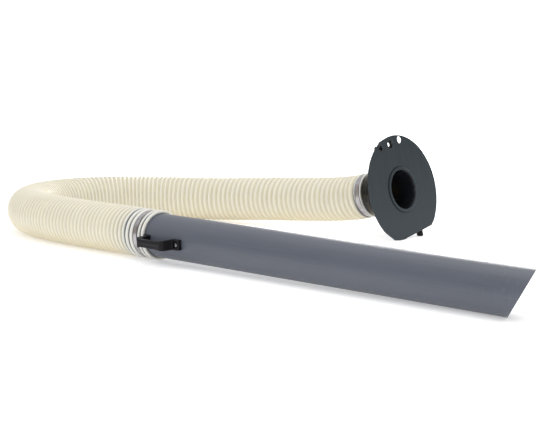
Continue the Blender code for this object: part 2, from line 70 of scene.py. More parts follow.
# The helix is drawn out near the plate and bunched before the bend: (distance along the hose, pitch).
PITCHES = (
    (0, 15.7), (200, 15.6), (393, 15.25), (573, 14.2), (740, 11.7), (860, 12.3),
    (1100, 13.0), (1300, 13.3), (1420, 13.5), (1572, 13.8), (1860, 13.8),
)
ROUND = 72  # points round each ring
HOSE_OVERLAP = 73.0 * MM  # how far the hose goes over the nozzle
PLATE_OVERLAP = 56.0 * MM  # and over the collar
ROUTE = (
    (-0.4276, 0.3056, 0.1086), (-0.48207, 0.3004, 0.09665), (-0.5112, 0.2976, 0.09025),
    (-0.565, 0.2912, 0.083), (-0.64, 0.2805, 0.0765), (-0.7123, 0.2687, 0.0715),
    (-0.8087, 0.2486, 0.0659), (-0.9031, 0.2204, 0.06), (-0.9932, 0.1804, 0.0575),
    (-1.0754, 0.126, 0.0573), (-1.1439, 0.0551, 0.0573), (-1.1893, -0.0321, 0.0573),
    (-1.2009, -0.1294, 0.0573), (-1.1689, -0.222, 0.0573), (-1.1014, -0.2932, 0.0573),
    (-1.0122, -0.3344, 0.0573), (-0.9151, -0.3517, 0.0573), (-0.8165, -0.3578, 0.0574),
    (-0.7178, -0.3603, 0.0575), (-0.65, -0.361, 0.058), (-0.58525, -0.361, 0.05766),
    (-0.51225, -0.361, 0.0572),
)

# The adapter plate, in its own plane: (across, up). Holes and bushes are in millimetres.
PLATE_R = 138.7 * MM
PLATE_CENTRE = (1.7 * MM, -1.3 * MM)
PLATE_THICKNESS = 3.2 * MM
CHORD_DISTANCE = 116.5 * MM
CHORD_ANGLE = math.radians(-78.96)
FOOT_V = -124.0 * MM
FOOT_TRIM = ((-63.0 * MM, -122.0 * MM), (-46.0 * MM, FOOT_V))
CHORD_END_TRIM = 75.0 * MM
ARC_START = math.radians(-38.8)
ARC_END = math.radians(225.6)
PLATE_BORE_R = 58.0 * MM
TOP_HOLE = (19.5, 124.8, 8.8)  # across, up, radius
BUSHES = (  # name, across, up, radii outside, in the counterbore and in the bore, length behind the face
    ("latch_bush_large", -22.0, 115.6, 11.8, 10.0, 5.0, 7.0),
    ("latch_bush_small", -63.0, 107.6, 7.9, 6.4, 3.5, 15.0),
)
LATCH_CORNERS = ((-58, 125), (-25, 134), (-3, 133), (-3, 101), (-52, 90), (-77, 97), (-72, 113))
PLATE_TILT = math.radians(12.32)
GAP = 0.3 * MM  # between pieces that are fixed to each other
REAR = -PLATE_THICKNESS - GAP  # where the pieces behind the plate begin
PIN_U = 58.0 * MM
PIN_R = 8.2 * MM
PIN_DEPTH = -13.2 * MM
PIN_ROOT = -62.0 * MM
BLOCK_HALF = 13.0 * MM
BLOCK_BOTTOM = -92.0 * MM
BLOCK_TOP = -70.0 * MM
COLLAR_BORE_R = 48.0 * MM
COLLAR_LENGTH = 118.0 * MM
LIP_R = 57.3 * MM
FLANGE_R = 72.0 * MM

# The clamps.
BAND_R = 53.3 * MM
BAND_THICKNESS = 0.8 * MM
WORM_DISTANCE = 59.7 * MM
WORM_CORE_R = 3.0 * MM
WORM_CREST_R = 4.1 * MM
WORM_PITCH = 3.175 * MM
HOUSING_LENGTH = 18.0 * MM
CLAMPS = (  # name, its body, the body of its worm, place along the tube, turn round it
    ("nozzle_clamp", "wand", "nozzle_worm", 41.0 * MM, math.radians(-75)),
    ("plate_clamp", "machine_end", "plate_worm", -105.0 * MM, math.radians(10)),
)

# The handle.
HANDLE_START = 74.5 * MM
HANDLE_END = 199.0 * MM
HANDLE_TURN = math.radians(4.2)
HANDLE_REACH = 88.5 * MM
HANDLE_SCREWS = (79.8 * MM, 189.0 * MM)
SCREW_SEAT = TUBE_R + 6.5 * MM
FOOT_HALF = 11.6 * MM
GRIP_HALF = 9.0 * MM


# --- frames ---------------------------------------------------------------------------------------------


def columns(x, y, z, place):
    turn = Matrix((x, y, z)).transposed().to_4x4()
    turn.translation = place
    return turn


def wand_place():
    drop = math.radians(0.36)
    along = Vector((math.cos(drop), 0, -math.sin(drop)))
    up = Vector((math.sin(drop), 0, math.cos(drop)))
    return columns(up, along.cross(up), along, Vector((-0.58525, -0.361, 0.05766)))


def plate_place():
    heading = math.radians(5.43)
    level, rise = math.cos(PLATE_TILT), math.sin(PLATE_TILT)
    normal = Vector((level * math.cos(heading), level * math.sin(heading), rise))
    right = Vector((-math.sin(heading), math.cos(heading), 0))
    height = -FOOT_V * level + PLATE_THICKNESS * rise
    return columns(right, normal.cross(right), normal, Vector((-0.3673, 0.3113, height)))


def handle_place():
    outward = Vector((-math.sin(HANDLE_TURN), math.cos(HANDLE_TURN), 0))
    along = Vector((0, 0, 1))
    return WAND @ columns(along, outward.cross(along), outward, Vector())


WAND = wand_place()
PLATE = plate_place()
HANDLE = handle_place()


# --- materials ------------------------------------------------------------------------------------------


class Finish:
    """A node-based material and short ways to add to it."""

    def __init__(self, name):
        self.material = bpy.data.materials.new(name)
        self.material.use_nodes = True
        self.nodes = self.material.node_tree.nodes
        self.links = self.material.node_tree.links
        self.shader = self.nodes["Principled BSDF"]

    def add(self, kind, inputs=(), **settings):
        node = self.nodes.new(kind)
        for key, value in settings.items():
            setattr(node, key, value)
        for key, value in dict(inputs).items():
            self.put(node.inputs[key], value)
        return node

    def put(self, socket, value):
        if isinstance(value, bpy.types.NodeSocket):
            self.links.new(value, socket)
        else:
            socket.default_value = value

    def set(self, **values):
        for key, value in values.items():
            self.put(self.shader.inputs[key.replace("_", " ")], value)

    def place(self, stretch=(1, 1, 1)):
        found = self.add("ShaderNodeTexCoord").outputs["Object"]
        return self.stretched(found, stretch)

    def attribute(self, name, output="Fac"):
        return self.add("ShaderNodeAttribute", attribute_name=name).outputs[output]

    def stretched(self, vector, stretch):
        return self.add("ShaderNodeMapping", {"Vector": vector, "Scale": stretch}).outputs["Vector"]

    def noise(self, vector, scale, detail=4.0, roughness=0.55):
        values = {"Vector": vector, "Scale": scale, "Detail": detail, "Roughness": roughness}
        return self.add("ShaderNodeTexNoise", values).outputs["Fac"]

    def cells(self, vector, scale):
        return self.add("ShaderNodeTexVoronoi", {"Vector": vector, "Scale": scale}).outputs["Distance"]

    def ramp(self, value, low, high, out_low=0.0, out_high=1.0):
        values = {"Value": value, "From Min": low, "From Max": high, "To Min": out_low, "To Max": out_high}
        return self.add("ShaderNodeMapRange", values).outputs["Result"]

    def mixed(self, factor, first, second, blend="MIX"):
        node = self.add("ShaderNodeMix", data_type="RGBA", blend_type=blend)
        self.put(node.inputs[0], factor)
        self.put(node.inputs[6], rgba(first))
        self.put(node.inputs[7], rgba(second))
        return node.outputs[2]

    def maths(self, operation, first, second=0.0):
        node = self.add("ShaderNodeMath", operation=operation)
        self.put(node.inputs[0], first)
        self.put(node.inputs[1], second)
        return node.outputs[0]

    def bump(self, height, distance, strength=1.0, over=None):
        values = {"Height": height, "Distance": distance, "Strength": strength}
        if over is not None:
            values["Normal"] = over
        return self.add("ShaderNodeBump", values).outputs["Normal"]

    def pointed(self):
        return self.add("ShaderNodeNewGeometry").outputs["Pointiness"]


def rgba(value):
    if isinstance(value, tuple) and len(value) == 3:
        return (*value, 1.0)
    return value


def grey_pvc():
    """Extruded PVC: faint lines along the tube, cloudy tone, scuffs at the tip."""
    m = Finish("grey_pvc")
    lines = m.noise(m.place((260, 260, 5)), 1.0, 5)
    cloud = m.noise(m.place((1, 1, 0.35)), 14.0, 3)
    base = m.mixed(m.ramp(lines, 0.3, 0.7), (0.070, 0.080, 0.104), (0.081, 0.091, 0.116))
    base = m.mixed(m.ramp(cloud, 0.35, 0.7, 0.0, 0.5), base, (0.095, 0.105, 0.133))
    along = m.add("ShaderNodeSeparateXYZ", {"Vector": m.place()}).outputs["Z"]
    near_tip = m.ramp(along, 0.95, 1.17)
    scratch = m.noise(m.place((90, 30, 420)), 1.0, 3)
    scuffs = m.maths("MULTIPLY", m.ramp(scratch, 0.62, 0.72, 0.0, 0.5), near_tip)
    base = m.mixed(scuffs, base, (0.17, 0.18, 0.20))
    grain = m.noise(m.place(), 900.0, 2)
    normal = m.bump(lines, 0.0004, 0.5)
    m.set(Base_Color=base, Roughness=m.ramp(cloud, 0.2, 0.8, 0.34, 0.44))
    m.set(Normal=m.bump(grain, 0.0001, 0.35, normal))
    m.set(IOR=1.48)
    return m.material


def black_plastic():
    """Moulded black plastic with a fine spark-eroded grain."""
    m = Finish("black_plastic")
    grain = m.cells(m.place(), 1300.0)
    cloud = m.noise(m.place(), 40.0, 3)
    base = m.mixed(cloud, (0.0035, 0.003, 0.0045), (0.007, 0.0065, 0.009))
    base = m.mixed(m.ramp(m.pointed(), 0.52, 0.62, 0.0, 0.5), base, (0.035, 0.034, 0.038))
    m.set(Base_Color=base, Roughness=m.ramp(cloud, 0.3, 0.7, 0.34, 0.46), Specular_IOR_Level=0.13)
    m.set(Normal=m.bump(grain, 0.00012, 0.5))
    return m.material


def black_tube():
    """Smoother black tube stock with faint turning lines round it and a little dust."""
    m = Finish("black_tube")
    rings = m.noise(m.place((12, 12, 900)), 1.0, 3)
    dust = m.noise(m.place(), 130.0, 6)
    base = m.mixed(m.ramp(dust, 0.5, 0.8, 0.0, 0.3), (0.009, 0.010, 0.013), (0.022, 0.022, 0.023))
    m.set(Base_Color=base, Roughness=m.ramp(dust, 0.3, 0.7, 0.12, 0.26), Specular_IOR_Level=0.3)
    m.set(Normal=m.bump(rings, 0.0002, 0.35))
    return m.material


def charcoal_steel():
    """Powder-coated steel: orange-peel skin, faint upright streaks and lighter rubbed edges, over painted
    shade that darkens it towards the top and painted bounce light that lightens it towards the bottom.
    """
    m = Finish("charcoal_steel")
    peel = m.noise(m.place(), 420.0, 2)
    streaks = m.noise(m.place((70, 4, 4)), 1.0, 4)
    fleck = m.cells(m.place(), 900.0)
    # Painted light and shade: the colour runs from dark at the top of the plate to lighter at the bottom,
    # standing in for the floor's bounce light.
    height = m.add("ShaderNodeSeparateXYZ", {"Vector": m.place()}).outputs["Y"]
    painted_dark_top, painted_lit_bottom = (0.017, 0.024, 0.029), (0.040, 0.050, 0.057)
    base = m.mixed(m.ramp(height, 0.11, -0.10), painted_dark_top, painted_lit_bottom)
    base = m.mixed(m.ramp(streaks, 0.3, 0.7, 0.0, 0.35), base, (0.045, 0.056, 0.063))
    base = m.mixed(m.ramp(fleck, 0.0, 0.12, 0.3, 0.0), base, (0.055, 0.066, 0.073))
    base = m.mixed(m.ramp(m.pointed(), 0.52, 0.6, 0.0, 0.4), base, (0.075, 0.086, 0.094))
    m.set(Base_Color=base, Roughness=m.ramp(streaks, 0.3, 0.7, 0.34, 0.44), Specular_IOR_Level=0.12)
    m.set(Normal=m.bump(peel, 0.00035, 0.4))
    return m.material


def bush_gloss():
    """Hard polished black of the two latch bushes, scratched by the rods."""
    m = Finish("bush_gloss")
    scratch = m.noise(m.place((60, 60, 900)), 1.0, 4)
    base = m.mixed(m.ramp(scratch, 0.45, 0.7, 0.0, 0.6), (0.006, 0.006, 0.007), (0.03, 0.03, 0.032))
    m.set(Base_Color=base, Roughness=m.ramp(scratch, 0.3, 0.7, 0.05, 0.16))
    m.set(Normal=m.bump(scratch, 0.00008, 0.4), IOR=1.6)
    return m.material


def clamp_steel():
    """Stainless strip, brushed along its length and stained brown in places."""
    m = Finish("clamp_steel")
    brushed = m.noise(m.place((25, 25, 2600)), 1.0, 4)
    stain = m.noise(m.place(), 60.0, 4)
    base = m.mixed(m.ramp(stain, 0.40, 0.68, 0.0, 0.8), (0.45, 0.44, 0.47), (0.25, 0.20, 0.17))
    m.set(Base_Color=base, Metallic=1.0, Roughness=m.ramp(brushed, 0.25, 0.75, 0.16, 0.34))
    m.set(Normal=m.bump(brushed, 0.00008, 0.4))
    return m.material


def dull_zinc():
    """Zinc-plated fasteners, gone dull."""
    m = Finish("dull_zinc")
    stain = m.noise(m.place(), 240.0, 4)
    base = m.mixed(m.ramp(stain, 0.35, 0.7), (0.30, 0.30, 0.31), (0.14, 0.135, 0.13))
    m.set(Base_Color=base, Metallic=1.0, Roughness=m.ramp(stain, 0.3, 0.7, 0.3, 0.5))
    m.set(Normal=m.bump(stain, 0.00006, 0.4))
    return m.material


def ivory_hose():
    """Stiff pale rib in a softer honey-coloured wall; the grey tube shows through where it fills the hose;
    the underside gets painted shade in a darker honey colour.
    """
    m = Finish("ivory_hose")
    rib = m.attribute("rib")
    over = m.attribute("over")
    place = m.attribute("place", "Vector")
    cloud = m.noise(place, 22.0, 4)
    fine = m.noise(m.stretched(place, (60, 260, 260)), 1.0, 3)
    web = m.mixed(cloud, (0.585, 0.53, 0.39), (0.645, 0.595, 0.455))
    crest = m.mixed(cloud, (0.715, 0.67, 0.555), (0.76, 0.72, 0.61))
    cream = m.mixed(rib, web, crest)
    # Painted shade: faces turned down towards the floor are tinted a darker honey colour.
    facing = m.add("ShaderNodeSeparateXYZ", {"Vector": m.add("ShaderNodeNewGeometry").outputs["Normal"]})
    painted_underside_shade = m.ramp(facing.outputs["Z"], -0.25, -0.95, 0.0, 0.75)
    cream = m.mixed(painted_underside_shade, cream, (0.66, 0.58, 0.40))
    white = m.mixed(m.ramp(rib, 0.0, 0.6), (0.08, 0.083, 0.095), (0.70, 0.69, 0.645))
    base = m.mixed(over, cream, white)
    m.set(Base_Color=base, Roughness=m.ramp(fine, 0.3, 0.7, 0.28, 0.4))
    m.set(Normal=m.bump(fine, 0.0003, 0.4))
    m.set(Subsurface_Weight=0.3, Subsurface_Radius=(0.014, 0.011, 0.007), Subsurface_Scale=1.0)
    m.set(IOR=1.5)
    return m.material


def clear_tail():
    """The hose's unribbed end: clear, faintly honey-coloured PVC."""
    m = Finish("clear_tail")
    place = m.attribute("place", "Vector")
    ripple = m.noise(m.stretched(place, (90, 30, 30)), 1.0, 3)
    m.set(Base_Color=(0.62, 0.58, 0.50, 1.0), Transmission_Weight=1.0)
    m.set(Roughness=m.ramp(ripple, 0.2, 0.8, 0.01, 0.05))
    m.set(Normal=m.bump(ripple, 0.0004, 0.35), IOR=1.25)
    return m.material


# --- shapes ---------------------------------------------------------------------------------------------


def softened(outline, radius, steps=4):
    """A closed (x, y) outline with each corner rounded by up to radius."""
    made = []
    count = len(outline)
    for i, corner in enumerate(outline):
        here, before, after = (Vector(p) for p in (corner, outline[i - 1], outline[(i + 1) % count]))
        back, ahead = before - here, after - here
        if back.length < 1e-7 or ahead.length < 1e-7:
            continue
        start = here + back.normalized() * min(radius, back.length * 0.45)
        end = here + ahead.normalized() * min(radius, ahead.length * 0.45)
        for step in range(steps + 1):
            t = step / steps
            made.append(tuple(start * (1 - t) ** 2 + here * 2 * t * (1 - t) + end * t * t))
    return made


def mesh_of(name, points, faces, sharp=35):
    mesh = bpy.data.meshes.new(name)
    mesh.from_pydata([tuple(p) for p in points], [], faces)
    bm = bmesh.new()
    bm.from_mesh(mesh)
    bmesh.ops.remove_doubles(bm, verts=bm.verts, dist=1e-7)
    bmesh.ops.recalc_face_normals(bm, faces=bm.faces)
    bm.to_mesh(mesh)
    bm.free()
    mesh.shade_smooth()
    if sharp is not None:
        mesh.set_sharp_from_angle(angle=math.radians(sharp))
    return mesh


def ring_faces(rings, count, closed=False):
    faces = []
    for i in range(rings if closed else rings - 1):
        low, high = i * count, (i + 1) % rings * count
        for j in range(count):
            after = (j + 1) % count
            faces.append((low + j, low + after, high + after, high + j))
    return faces


def turned(name, profile, steps=96):
    """A closed (radius, height) outline spun round local Z."""
    turns = [math.tau * i / steps for i in range(steps)]
    points = [(r * math.cos(t), r * math.sin(t), z) for r, z in profile for t in turns]
    return mesh_of(name, points, ring_faces(len(profile), steps, closed=True))


def stacked(name, rings, sharp=35):
    """Rings of equal count skinned in order and capped at both ends."""
    count = len(rings[0])
    faces = ring_faces(len(rings), count)
    faces += [tuple(range(count)), tuple(range((len(rings) - 1) * count, len(rings) * count))]
    return mesh_of(name, [p for ring in rings for p in ring], faces, sharp)


def extruded(name, outline, low, high):
    return stacked(name, [[(x, y, z) for x, y in outline] for z in (low, high)])


def circle(radius, centre=(0, 0), steps=64):
    turns = [math.tau * i / steps for i in range(steps)]
    return [(centre[0] + radius * math.cos(t), centre[1] + radius * math.sin(t)) for t in turns]


def piece(name, mesh, place, finish, body, nodes):
    """A finished piece: placed, painted, riding on its body and standing for its CAD nodes."""
    obj = bpy.data.objects.new(name, mesh)
    bpy.context.scene.collection.objects.link(obj)
    obj.matrix_world = place
    if not mesh.materials:
        mesh.materials.append(finish)
    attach(obj, body)
    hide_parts(*nodes)
    return obj


def even_shading(mesh):
    """The mesh with its corner normals weighted by face area, so that broad flat faces shade flat."""
    mesh.shade_smooth()
    mesh.set_sharp_from_angle(angle=math.radians(35))
    obj = bpy.data.objects.new("work", mesh)
    bpy.context.scene.collection.objects.link(obj)
    weighting = obj.modifiers.new("weighting", "WEIGHTED_NORMAL")
    weighting.keep_sharp = True
    graph = bpy.context.evaluated_depsgraph_get()
    made = bpy.data.meshes.new_from_object(obj.evaluated_get(graph))
    made.name = mesh.name
    bpy.data.objects.remove(obj, do_unlink=True)
    return made


def carved(mesh, cutters=(), bevel=0.0, segments=3, angle=40):
    """The mesh with the cutter meshes taken out of it and its sharp edges rounded."""
    obj = bpy.data.objects.new("work", mesh)
    bpy.context.scene.collection.objects.link(obj)
    tools = []
    for i, shape in enumerate(cutters):
        tool = bpy.data.objects.new(f"work_tool_{i}", shape)
        bpy.context.scene.collection.objects.link(tool)
        cut = obj.modifiers.new("cut", "BOOLEAN")
        cut.operation = "DIFFERENCE"
        cut.solver = "EXACT"
        cut.object = tool
        tools.append(tool)
    if bevel:
        rounding = obj.modifiers.new("rounding", "BEVEL")
        rounding.width = bevel
        rounding.segments = segments
        rounding.limit_method = "ANGLE"
        rounding.angle_limit = math.radians(angle)
        rounding.use_clamp_overlap = True
    bpy.context.view_layer.update()
    graph = bpy.context.evaluated_depsgraph_get()
    made = bpy.data.meshes.new_from_object(obj.evaluated_get(graph))
    made.name = mesh.name
    for extra in [obj, *tools]:
        bpy.data.objects.remove(extra, do_unlink=True)
    return even_shading(made)


# --- nozzle and handle ----------------------------------------------------------------------------------


def make_nozzle(finish):
    """The long tube; each ring slides from square at the hose to the slanted plane at the tip."""
    inner = TUBE_R - NOZZLE_WALL
    edge = 0.8 * MM
    steps = 128
    square_end = ((inner, edge), (inner + edge, 0), (TUBE_R - edge, 0), (TUBE_R, edge))
    slanted_end = ((TUBE_R, edge), (TUBE_R - edge * 0.3, edge * 0.3), (TUBE_R - edge, 0),
                   (inner + edge, 0), (inner + edge * 0.3, edge * 0.3), (inner, edge))
    rings = [(r, z, 0.0) for r, z in square_end]
    rings += [(TUBE_R, edge, i / 24) for i in range(1, 24)]
    rings += [(r, -back, 1.0) for r, back in slanted_end]
    rings += [(inner, -edge, 1 - i / 12) for i in range(1, 12)]
    points = []
    for r, offset, share in rings:
        for turn in (math.tau * j / steps for j in range(steps)):
            tip = CUT_AT + math.tan(CUT_ANGLE) * r * math.cos(turn - CUT_ROLL)
            points.append((r * math.cos(turn), r * math.sin(turn), share * tip + offset))
    mesh = mesh_of("nozzle_tube", points, ring_faces(len(rings), steps, closed=True))
    piece("nozzle", mesh, WAND, finish, "wand", ["nozzle_tube"])


def handle_side():
    """The handle seen from above the nozzle: (along the tube, distance from its axis)."""
    rim = TUBE_R + 9.7 * MM
    sole = TUBE_R - 3 * MM
    reach = HANDLE_REACH
    grip = 9.0 * MM
    left, right = HANDLE_START, HANDLE_END
    return [
        (left, sole), (left, SCREW_SEAT), (left + 12 * MM, SCREW_SEAT), (left + 9.5 * MM, reach - 6 * MM),
        (left + 14 * MM, reach), (right - 32 * MM, reach), (right - 26 * MM, reach - 5 * MM),
        (right - 21 * MM, rim), (right, rim), (right, sole), (right - 27 * MM, sole),
        (right - 29 * MM, SCREW_SEAT + 2 * MM), (right - 34 * MM, reach - grip),
        (left + 21 * MM, reach - grip), (left + 19 * MM, SCREW_SEAT + 4 * MM), (left + 19 * MM, sole),
    ]


def grip_cut(sign):
    """What is taken off the bar above or below, so that it widens towards both feet: (along the tube, up)."""
    low, high = HANDLE_START + 16 * MM, HANDLE_END - 24 * MM
    taper = 9.0 * MM
    grip, foot, clear = sign * GRIP_HALF, sign * (FOOT_HALF + 0.01 * MM), sign * 20 * MM
    return [(low, foot), (low + taper, grip), (high - 3 * taper, grip), (high, foot),
            (high, clear), (low, clear)]


def make_handle(finish, steel):
    mesh = extruded("grab_handle", softened(handle_side(), 2.6 * MM, 3), -FOOT_HALF, FOOT_HALF)
    mesh.transform(Matrix.Rotation(math.radians(90), 4, "X"))
    tube = extruded("saddle", circle(TUBE_R + 0.1 * MM, steps=128), -10 * MM, 270 * MM)
    tube.transform(HANDLE.inverted() @ WAND)
    half_pocket = 6.4 * MM
    square = [(-half_pocket, -half_pocket), (half_pocket, -half_pocket), (half_pocket, half_pocket),
              (-half_pocket, half_pocket)]
    pocket = extruded("pocket", [(x + HANDLE_SCREWS[1], y) for x, y in softened(square, 1.5 * MM)],
                      SCREW_SEAT, SCREW_SEAT + 10 * MM)
    flute = 0.9 * MM
    grooves = [extruded("grip_cut", grip_cut(sign), TUBE_R - 10 * MM, HANDLE_REACH + 10 * MM)
               for sign in (-1, 1)]
    for side in (-1, 1):
        y = side * 4.6 * MM
        box = [(HANDLE_START + 22 * MM, y - flute), (HANDLE_END - 38 * MM, y - flute),
               (HANDLE_END - 38 * MM, y + flute), (HANDLE_START + 22 * MM, y + flute)]
        grooves.append(extruded("groove", box, HANDLE_REACH - 0.9 * MM, HANDLE_REACH + 5 * MM))
    mesh = carved(mesh, [tube, pocket, *grooves], bevel=0.9 * MM)
    piece("handle", mesh, HANDLE, finish, "wand", ["grab_handle"])
    for i, at in enumerate(HANDLE_SCREWS):
        make_screw(i + 1, at, steel)
        make_nut(i + 1, at, steel)


def make_screw(number, at, finish):
    """A pan-head screw with a cross recess."""
    levels = [(2.0, 39.5), (2.5, 40.2), (2.5, 57.3), (4.4, 57.31), (4.6, 57.5), (4.6, 59.0), (4.45, 59.7),
              (4.0, 60.25), (3.3, 60.6), (2.4, 60.82), (1.2, 60.9)]
    rings = [[(x, y, z * MM) for x, y in circle(r * MM, steps=48)] for r, z in levels]
    slots = []
    for along, across in ((2.6, 0.45), (0.45, 2.6)):
        box = [(-along, -across), (along, -across), (along, across), (-along, across)]
        slots.append(extruded("recess", [(x * MM, y * MM) for x, y in box], 59.2 * MM, 62 * MM))
    mesh = carved(stacked("screw", rings), slots)
    place = HANDLE @ Matrix.Translation((at, 0, 0))
    piece(f"screw_{number}", mesh, place, finish, "wand", [f"handle_screw_{number}"])


def make_nut(number, at, finish):
    """The washer and the nut inside the tube."""
    seat, bore_r, washer_r, nut_r = 47.0 * MM, 2.8 * MM, 5.5 * MM, 4.62 * MM
    place = HANDLE @ Matrix.Translation((at, 0, 0))
    profile = [(bore_r, seat - 1 * MM), (washer_r, seat - 1 * MM), (washer_r, seat), (bore_r, seat)]
    washer = turned("washer", softened(profile, 0.2 * MM, 2), 48)
    piece(f"washer_{number}", washer, place, finish, "wand", [f"handle_washer_{number}"])
    top = seat - 1.3 * MM
    body = extruded("nut", circle(nut_r, steps=6), top - 4 * MM, top)
    bore = extruded("nut_bore", circle(bore_r, steps=32), top - 6 * MM, top + 2 * MM)
    nut = carved(body, [bore], bevel=0.25 * MM, segments=2)
    piece(f"nut_{number}", nut, place, finish, "wand", [f"handle_nut_{number}"])


# --- plate ----------------------------------------------------------------------------------------------


def plate_outline():
    normal = Vector((math.cos(CHORD_ANGLE), math.sin(CHORD_ANGLE)))
    along = Vector((-normal.y, normal.x))
    middle = normal * CHORD_DISTANCE
    left_end = middle + along * ((FOOT_V - middle.y) / along.y)
    right_end = middle + along * CHORD_END_TRIM
    steps = 200
    arc = [ARC_START + (ARC_END - ARC_START) * i / steps for i in range(steps + 1)]
    u, v = PLATE_CENTRE
    outline = [(u + PLATE_R * math.cos(t), v + PLATE_R * math.sin(t)) for t in arc]
    return [*outline, *FOOT_TRIM, tuple(left_end), tuple(right_end)]


def make_plate(finish):
    mesh = extruded("adapter_plate", plate_outline(), -PLATE_THICKNESS, 0)
    u, v, r = TOP_HOLE
    holes = [(0, 0, PLATE_BORE_R / MM, 128), (u, v, r, 64)]
    holes += [(u, v, outer + 0.3, 64) for _, u, v, outer, *_ in BUSHES]
    cutters = [extruded("hole", circle(r * MM, (u * MM, v * MM), steps), -10 * MM, 10 * MM)
               for u, v, r, steps in holes]
    mesh = carved(mesh, cutters, bevel=0.5 * MM, segments=2)
    piece("plate", mesh, PLATE, finish, "machine_end", ["adapter_plate"])


def make_latch(finish, glossy):
    outline = softened([(u * MM, v * MM) for u, v in LATCH_CORNERS], 3 * MM)
    cutters = [extruded("hole", circle((outer + 0.3) * MM, (u * MM, v * MM)), -30 * MM, 10 * MM)
               for _, u, v, outer, *_ in BUSHES]
    bracket = extruded("latch_bracket", outline, REAR - 3 * MM, REAR)
    mesh = carved(bracket, cutters, bevel=0.4 * MM, segments=2)
    piece("latch", mesh, PLATE, finish, "machine_end", ["latch_bracket"])
    proud, step = 0.6, -5
    for name, u, v, outer, counterbore, bore, rear in BUSHES:
        profile = [(bore, -rear), (outer, -rear), (outer, proud), (counterbore, proud),
                   (counterbore, step), (bore, step)]
        profile = softened([(r * MM, z * MM) for r, z in profile], 0.5 * MM, 3)
        place = PLATE @ Matrix.Translation((u * MM, v * MM, 0))
        piece(name.replace("latch_", ""), turned(name, profile, 64), place, glossy, "machine_end",
              [name])


def round_bar(name, levels, steps=48):
    """A bar in the pin's place; a level is (radius, place) or (radius, lift, True) off the floor."""
    level, rise = math.cos(PLATE_TILT), math.sin(PLATE_TILT)
    height = -FOOT_V * level + (PLATE_THICKNESS * rise - 0.3 * MM)
    rings = []
    for radius, place, *floor in levels:
        ring = []
        for turn in (math.tau * i / steps for i in range(steps)):
            depth = PIN_DEPTH + radius * math.sin(turn)
            v = place - (height + depth * rise) / level if floor else place
            ring.append((PIN_U + radius * math.cos(turn), v, depth))
        rings.append(ring)
    return stacked(name, rings)


def make_pin(finish):
    levels = [
        (PIN_R - 1.6 * MM, PIN_ROOT), (PIN_R - 0.6 * MM, PIN_ROOT - 0.2 * MM), (PIN_R, PIN_ROOT - 0.9 * MM),
        (PIN_R, 1.4 * MM, True), (PIN_R - 0.3 * MM, 0.5 * MM, True), (PIN_R - 1.0 * MM, 0.1 * MM, True),
        (PIN_R - 2.0 * MM, 0.0, True),
    ]
    pin = round_bar("locating_pin", levels)
    piece("pin", pin, PLATE, finish, "machine_end", ["locating_pin"])
    left, right = PIN_U - BLOCK_HALF, PIN_U + BLOCK_HALF
    box = [(left, BLOCK_BOTTOM), (right, BLOCK_BOTTOM), (right, BLOCK_TOP), (left, BLOCK_TOP)]
    block = extruded("pin_block", softened(box, 2.5 * MM), PIN_DEPTH - BLOCK_HALF + 1 * MM, REAR)
    drill_r = PIN_R + 0.2 * MM
    drill = round_bar("drill", [(drill_r, -50 * MM), (drill_r, -120 * MM)])
    block = carved(block, [drill], bevel=0.8 * MM)
    piece("pin_holder", block, PLATE, finish, "machine_end", ["pin_block"])


def make_collar(finish, lip_finish):
    bore, fit = COLLAR_BORE_R, TUBE_R + GAP
    tube = [(bore, -COLLAR_LENGTH), (TUBE_R, -COLLAR_LENGTH), (TUBE_R, REAR), (bore, REAR)]
    lip = [
        (bore, -PLATE_THICKNESS), (LIP_R - 1.6 * MM, -PLATE_THICKNESS), (LIP_R - 1.6 * MM, 0.4 * MM),
        (LIP_R, 0.9 * MM), (LIP_R - 0.4 * MM, 2.2 * MM), (LIP_R - 2.2 * MM, 3.0 * MM),
        (bore + 2.6 * MM, 3.0 * MM), (bore + 1.4 * MM, 2.0 * MM), (bore + 0.2 * MM, -1 * MM),
    ]
    flange = [
        (fit, REAR - 9 * MM), (TUBE_R + 3 * MM, REAR - 9 * MM), (TUBE_R + 5 * MM, REAR - 3 * MM),
        (FLANGE_R, REAR - 3 * MM), (FLANGE_R, REAR), (fit, REAR),
    ]
    for name, node, profile, radius, paint in (("collar", "collar_tube", tube, 0.8, finish),
                                               ("lip", "collar_lip", lip, 0.9, lip_finish),
                                               ("flange", "collar_flange", flange, 1.0, finish)):
        mesh = turned(node, softened(profile, radius * MM, 4), 128)
        mesh.materials.append(paint)
        if paint is lip_finish:  # its inside is as dark as the tube
            mesh.materials.append(finish)
            for face in mesh.polygons:
                face.material_index = int(face.center.xy.length < bore + 1.7 * MM)
        piece(name, mesh, PLATE, paint, "machine_end", [node])


# --- hose -----------------------------------------------------------------------------------------------


def between(before, start, end, after, t):
    """A point on the smooth curve from start to end (Catmull-Rom)."""
    return 0.5 * (2 * start + (end - before) * t + (2 * before - 5 * start + 4 * end - after) * t * t
                  + (3 * start - before - 3 * end + after) * t ** 3)


def smooth(value, low, high):
    t = np.clip((value - low) / (high - low), 0, 1)
    return t * t * (3 - 2 * t)


